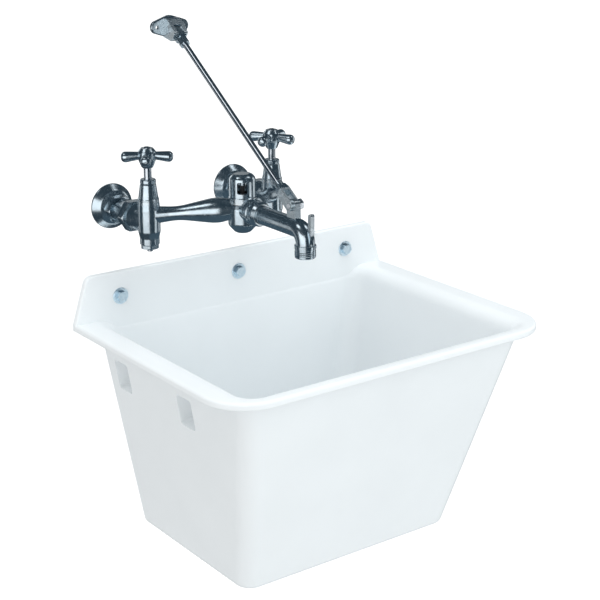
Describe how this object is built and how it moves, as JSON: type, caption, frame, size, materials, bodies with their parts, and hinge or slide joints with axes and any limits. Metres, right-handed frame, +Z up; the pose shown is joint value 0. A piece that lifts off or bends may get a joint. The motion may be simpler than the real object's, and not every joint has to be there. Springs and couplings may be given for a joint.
{
  "type": "utility laundry sink",
  "caption": "Wall-hung utility sink with a tapered basin and backsplash, and a wall-braced two-handle service faucet with vacuum breaker, pail hook and hose outlet.",
  "frame": {"origin": "where the centre wall bolt's axis crosses the wall face", "axes": "+X to the user's right, +Y into the wall, +Z up"},
  "size_m": [0.553, 0.457, 0.8331],
  "materials": {
    "tub_white": "smooth satin white",
    "zinc_steel": "zinc plated",
    "stainless": "brushed",
    "polished_chrome": "polished, with light wear",
    "bright_steel": "bright plated",
    "plain_brass": "machined",
    "black_rubber": "matte",
    "packing_white": "matte",
    "float_plastic": "matte"
  },
  "bodies": {
    "fixture": {"tub": "tub_white", "wall_bolts": "zinc_steel", "wall_bolt_washers": "zinc_steel", "drain_body": "stainless", "drain_strainer": "stainless", "strainer_screw": "stainless", "drain_gasket": "black_rubber", "drain_slip_washer": "stainless", "drain_locknut": "stainless", "drain_tailpiece": "stainless", "tailpiece_washer": "black_rubber", "tailpiece_nut": "stainless", "faucet_body": "polished_chrome", "coupling_washers": "black_rubber", "valve_seats": "plain_brass", "stem_packings": "packing_white", "breaker_gasket": "black_rubber", "breaker_cap": "polished_chrome", "spout": "polished_chrome", "spout_nut": "polished_chrome", "spout_washer": "black_rubber", "hose_nozzle": "polished_chrome", "left_wall_flange": "polished_chrome", "left_inlet_nipple": "polished_chrome", "left_coupling_nut": "polished_chrome", "left_bonnet": "polished_chrome", "left_packing_nut": "polished_chrome", "left_stop_cap": "polished_chrome", "right_wall_flange": "polished_chrome", "right_inlet_nipple": "polished_chrome", "right_coupling_nut": "polished_chrome", "right_bonnet": "polished_chrome", "right_packing_nut": "polished_chrome", "right_stop_cap": "polished_chrome"},
    "left_washer_cup": {"left_washer_holder": "plain_brass", "left_seat_washer": "black_rubber"},
    "left_stem_set": {"left_stem": "bright_steel", "left_handle": "polished_chrome", "left_handle_screw": "bright_steel"},
    "left_stop_disc": {"left_stop_plunger": "plain_brass"},
    "left_stop_screw": {"left_stop_spindle": "bright_steel"},
    "right_washer_cup": {"right_washer_holder": "plain_brass", "right_seat_washer": "black_rubber"},
    "right_stem_set": {"right_stem": "bright_steel", "right_handle": "polished_chrome", "right_handle_screw": "bright_steel"},
    "right_stop_disc": {"right_stop_plunger": "plain_brass"},
    "right_stop_screw": {"right_stop_spindle": "bright_steel"},
    "breaker_float": {"breaker_float": "float_plastic"},
    "brace": {"brace_fork": "polished_chrome", "brace_bolt": "bright_steel", "brace_rod": "bright_steel", "brace_eye": "polished_chrome"},
    "bracket": {"wall_bracket": "polished_chrome", "bracket_pin": "bright_steel"}
  },
  "joints": [
    {"name": "left_valve_rise", "type": "slide", "parent": "fixture", "child": "left_washer_cup", "axis": [0, 0, 1], "range_m": [0, 0.0045]},
    {"name": "left_handle_turn", "type": "hinge", "parent": "left_washer_cup", "child": "left_stem_set", "pos_m": [-0.2071, -0.103, 0.222], "axis": [0, 0, 1], "range_deg": [0, 540]},
    {"name": "left_stop_rise", "type": "slide", "parent": "fixture", "child": "left_stop_disc", "axis": [0, 0, 1], "range_m": [0, 0.0035]},
    {"name": "left_stop_turn", "type": "hinge", "parent": "left_stop_disc", "child": "left_stop_screw", "pos_m": [-0.2071, -0.103, 0.096], "axis": [0, 0, 1], "range_deg": [0, 630]},
    {"name": "right_valve_rise", "type": "slide", "parent": "fixture", "child": "right_washer_cup", "axis": [0, 0, 1], "range_m": [0, 0.0045]},
    {"name": "right_handle_turn", "type": "hinge", "parent": "right_washer_cup", "child": "right_stem_set", "pos_m": [-0.0039, -0.103, 0.222], "axis": [0, 0, 1], "range_deg": [0, 540]},
    {"name": "right_stop_rise", "type": "slide", "parent": "fixture", "child": "right_stop_disc", "axis": [0, 0, 1], "range_m": [0, 0.0035]},
    {"name": "right_stop_turn", "type": "hinge", "parent": "right_stop_disc", "child": "right_stop_screw", "pos_m": [-0.0039, -0.103, 0.096], "axis": [0, 0, 1], "range_deg": [0, 630]},
    {"name": "float_lift", "type": "slide", "parent": "fixture", "child": "breaker_float", "axis": [0, 0, 1], "range_m": [0, 0.0026]},
    {"name": "brace_swing", "type": "hinge", "parent": "fixture", "child": "brace", "pos_m": [-0.1055, -0.292, 0.1765], "axis": [1, 0, 0], "range_deg": [0, 120]},
    {"name": "bracket_tilt", "type": "hinge", "parent": "brace", "child": "bracket", "pos_m": [-0.1055, -0.02, 0.368], "axis": [1, 0, 0], "range_deg": [-30, 30]}
  ],
  "couplings": [
    {"joint": "left_valve_rise", "follows": "left_handle_turn", "m_per_rad": 0.00047746},
    {"joint": "left_stop_turn", "follows": "left_stop_rise", "rad_per_m": 3141.5},
    {"joint": "right_valve_rise", "follows": "right_handle_turn", "m_per_rad": 0.00047746},
    {"joint": "right_stop_turn", "follows": "right_stop_rise", "rad_per_m": 3141.5}
  ]
}
